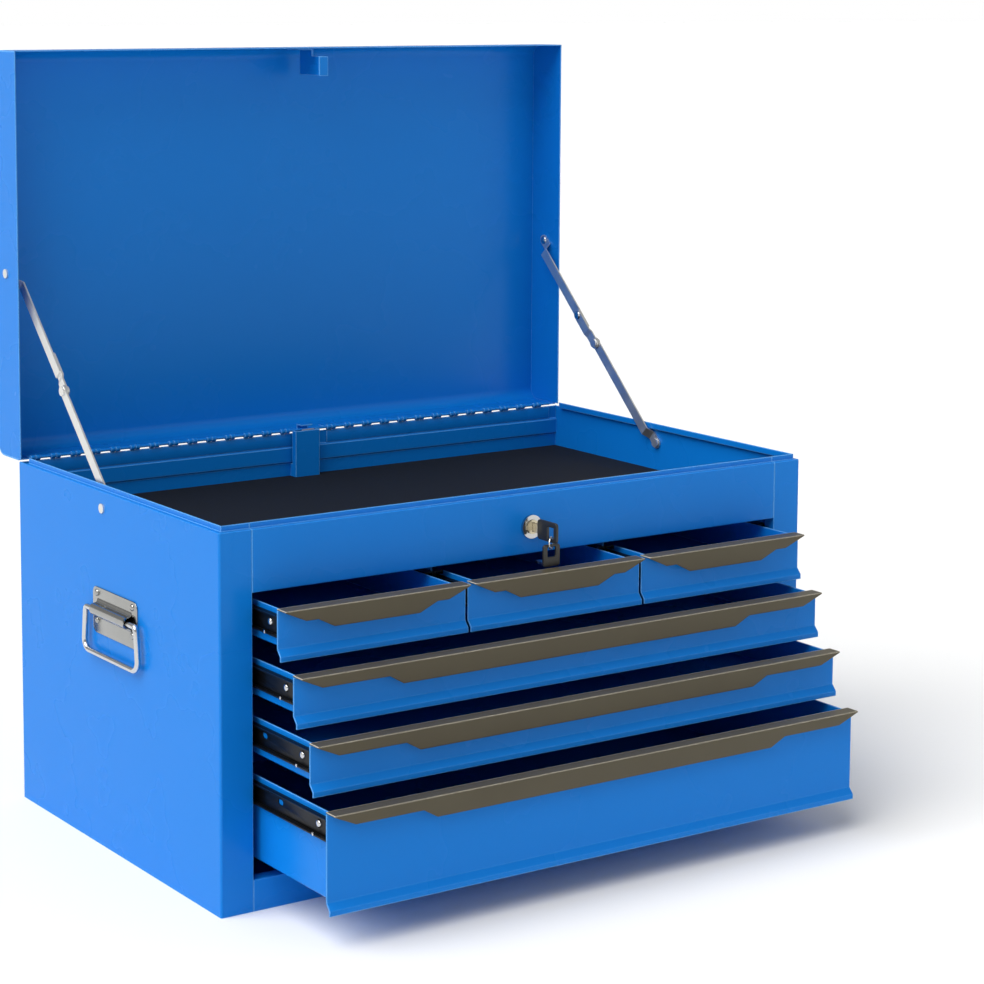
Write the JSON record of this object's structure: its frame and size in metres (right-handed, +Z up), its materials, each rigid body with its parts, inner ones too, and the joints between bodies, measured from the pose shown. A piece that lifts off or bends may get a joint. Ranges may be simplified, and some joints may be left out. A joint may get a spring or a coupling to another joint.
{
  "type": "tool box with drawers",
  "caption": "blue steel tool box with a lift-up lid over a shallow till, three small drawers above three wide ones, bronze pull strips, side carrying handles and a keyed lock",
  "frame": {"origin": "centre of the flat underside of the base, on the surface that the box stands on", "axes": "+X to the right as seen from the front, +Y to the back where the lid is hinged, +Z up"},
  "size_m": [0.6192, 0.5264, 0.6775],
  "materials": {
    "blue_coat": "satin powder coat on folded sheet steel",
    "mat_rubber": "ribbed non-slip mat",
    "black_slide": "black coated slide members",
    "bronze_pull": "satin olive bronze coat",
    "zinc_steel": "bright zinc plate",
    "bright_chrome": "bright plate",
    "nickel_key": "nickel plated key"
  },
  "bodies": {
    "cabinet": {"side_panel_left": "blue_coat", "side_panel_right": "blue_coat", "back_panel": "blue_coat", "bottom_panel": "blue_coat", "top_front_rail": "blue_coat", "bottom_front_rail": "blue_coat", "till_floor": "blue_coat", "dividers": "blue_coat", "slide_uprights": "blue_coat", "lock_bar_cover": "blue_coat", "till_mat": "mat_rubber", "outer_slides": "black_slide", "body_hinge_leaf": "zinc_steel", "hinge_pin": "zinc_steel", "handle_plate_left": "zinc_steel", "handle_plate_right": "zinc_steel", "body_rivets": "zinc_steel", "lock_housing": "bright_chrome"},
    "lid": {"lid_skin": "blue_coat", "lid_end_left": "blue_coat", "lid_end_right": "blue_coat", "lid_hinge_leaf": "zinc_steel", "lid_rivets": "zinc_steel", "lid_catch": "zinc_steel"},
    "lower_link_left": {"stay_lower_left": "zinc_steel"},
    "upper_link_left": {"stay_upper_left": "zinc_steel"},
    "bail_left_body": {"bail_left": "bright_chrome"},
    "lower_link_right": {"stay_lower_right": "zinc_steel"},
    "upper_link_right": {"stay_upper_right": "zinc_steel"},
    "bail_right_body": {"bail_right": "bright_chrome"},
    "drawer_1": {"drawer_1_box": "blue_coat", "drawer_1_pull": "bronze_pull", "drawer_1_slides": "black_slide"},
    "cages_1": {"drawer_1_ball_cages": "zinc_steel"},
    "drawer_2": {"drawer_2_box": "blue_coat", "drawer_2_pull": "bronze_pull", "drawer_2_slides": "black_slide"},
    "cages_2": {"drawer_2_ball_cages": "zinc_steel"},
    "drawer_3": {"drawer_3_box": "blue_coat", "drawer_3_pull": "bronze_pull", "drawer_3_slides": "black_slide"},
    "cages_3": {"drawer_3_ball_cages": "zinc_steel"},
    "drawer_4": {"drawer_4_box": "blue_coat", "drawer_4_pull": "bronze_pull", "drawer_4_slides": "black_slide"},
    "cages_4": {"drawer_4_ball_cages": "zinc_steel"},
    "drawer_5": {"drawer_5_box": "blue_coat", "drawer_5_pull": "bronze_pull", "drawer_5_slides": "black_slide"},
    "cages_5": {"drawer_5_ball_cages": "zinc_steel"},
    "drawer_6": {"drawer_6_box": "blue_coat", "drawer_6_pull": "bronze_pull", "drawer_6_slides": "black_slide"},
    "cages_6": {"drawer_6_ball_cages": "zinc_steel"},
    "lock_rod": {"lock_bar": "zinc_steel"},
    "plug": {"lock_plug": "bright_chrome", "lock_cam": "zinc_steel", "key": "nickel_key"},
    "ring": {"key_ring": "zinc_steel", "spare_key": "nickel_key"}
  },
  "joints": [
    {"name": "lid_hinge", "type": "hinge", "parent": "cabinet", "child": "lid", "pos_m": [0, 0.1815, 0.3125], "axis": [1, 0, 0], "range_deg": [0, 90]},
    {"name": "stay_lower_left", "type": "hinge", "parent": "cabinet", "child": "lower_link_left", "pos_m": [-0.299, 0.018, 0.2955], "axis": [1, 0, 0], "range_deg": [-48.69, 0.5]},
    {"name": "stay_upper_left", "type": "hinge", "parent": "lid", "child": "upper_link_left", "pos_m": [-0.299, 0.2033, 0.478], "axis": [1, 0, 0], "range_deg": [-0.5, 25.71]},
    {"name": "bail_left_swing", "type": "hinge", "parent": "cabinet", "child": "bail_left_body", "pos_m": [-0.3052, -0.005, 0.208], "axis": [0, 1, 0], "range_deg": [0, 100]},
    {"name": "stay_lower_right", "type": "hinge", "parent": "cabinet", "child": "lower_link_right", "pos_m": [0.299, 0.018, 0.2955], "axis": [1, 0, 0], "range_deg": [-48.69, 0.5]},
    {"name": "stay_upper_right", "type": "hinge", "parent": "lid", "child": "upper_link_right", "pos_m": [0.299, 0.2033, 0.478], "axis": [1, 0, 0], "range_deg": [-0.5, 25.71]},
    {"name": "bail_right_swing", "type": "hinge", "parent": "cabinet", "child": "bail_right_body", "pos_m": [0.3052, -0.005, 0.208], "axis": [0, 1, 0], "range_deg": [-100, 0]},
    {"name": "drawer_1_slide", "type": "slide", "parent": "cabinet", "child": "drawer_1", "axis": [0, -1, 0], "range_m": [-0.036, 0.214]},
    {"name": "drawer_1_cage_roll", "type": "slide", "parent": "cabinet", "child": "cages_1", "axis": [0, -1, 0], "range_m": [-0.0182, 0.1072]},
    {"name": "drawer_2_slide", "type": "slide", "parent": "cabinet", "child": "drawer_2", "axis": [0, -1, 0], "range_m": [-0.036, 0.214]},
    {"name": "drawer_2_cage_roll", "type": "slide", "parent": "cabinet", "child": "cages_2", "axis": [0, -1, 0], "range_m": [-0.0182, 0.1072]},
    {"name": "drawer_3_slide", "type": "slide", "parent": "cabinet", "child": "drawer_3", "axis": [0, -1, 0], "range_m": [-0.036, 0.214]},
    {"name": "drawer_3_cage_roll", "type": "slide", "parent": "cabinet", "child": "cages_3", "axis": [0, -1, 0], "range_m": [-0.0182, 0.1072]},
    {"name": "drawer_4_slide", "type": "slide", "parent": "cabinet", "child": "drawer_4", "axis": [0, -1, 0], "range_m": [-0.06, 0.19]},
    {"name": "drawer_4_cage_roll", "type": "slide", "parent": "cabinet", "child": "cages_4", "axis": [0, -1, 0], "range_m": [-0.0302, 0.0952]},
    {"name": "drawer_5_slide", "type": "slide", "parent": "cabinet", "child": "drawer_5", "axis": [0, -1, 0], "range_m": [-0.084, 0.166]},
    {"name": "drawer_5_cage_roll", "type": "slide", "parent": "cabinet", "child": "cages_5", "axis": [0, -1, 0], "range_m": [-0.0422, 0.0832]},
    {"name": "drawer_6_slide", "type": "slide", "parent": "cabinet", "child": "drawer_6", "axis": [0, -1, 0], "range_m": [-0.108, 0.142]},
    {"name": "drawer_6_cage_roll", "type": "slide", "parent": "cabinet", "child": "cages_6", "axis": [0, -1, 0], "range_m": [-0.0542, 0.0712]},
    {"name": "lock_bar_drop", "type": "slide", "parent": "cabinet", "child": "lock_rod", "axis": [0, 0, -1], "range_m": [-0.0002, 0.0062]},
    {"name": "lock_turn", "type": "hinge", "parent": "cabinet", "child": "plug", "pos_m": [0, -0.183, 0.282], "axis": [0, 1, 0], "range_deg": [0, 90]},
    {"name": "ring_hang", "type": "hinge", "parent": "plug", "child": "ring", "pos_m": [0, -0.2118, 0.2747], "axis": [0, 1, 0], "range_deg": [-90.5, 0.5]}
  ],
  "couplings": [
    {"joint": "stay_lower_left", "follows": "lid_hinge", "ratio": -0.53545},
    {"joint": "stay_upper_left", "follows": "lid_hinge", "ratio": 0.28008},
    {"joint": "stay_lower_right", "follows": "lid_hinge", "ratio": -0.53545},
    {"joint": "stay_upper_right", "follows": "lid_hinge", "ratio": 0.28008},
    {"joint": "drawer_1_cage_roll", "follows": "drawer_1_slide", "ratio": 0.5},
    {"joint": "drawer_2_cage_roll", "follows": "drawer_2_slide", "ratio": 0.5},
    {"joint": "drawer_3_cage_roll", "follows": "drawer_3_slide", "ratio": 0.5},
    {"joint": "drawer_4_cage_roll", "follows": "drawer_4_slide", "ratio": 0.5},
    {"joint": "drawer_5_cage_roll", "follows": "drawer_5_slide", "ratio": 0.5},
    {"joint": "drawer_6_cage_roll", "follows": "drawer_6_slide", "ratio": 0.5},
    {"joint": "lock_bar_drop", "follows": "lid_hinge", "m_per_rad": 0.00382},
    {"joint": "ring_hang", "follows": "lock_turn", "ratio": -1}
  ]
}
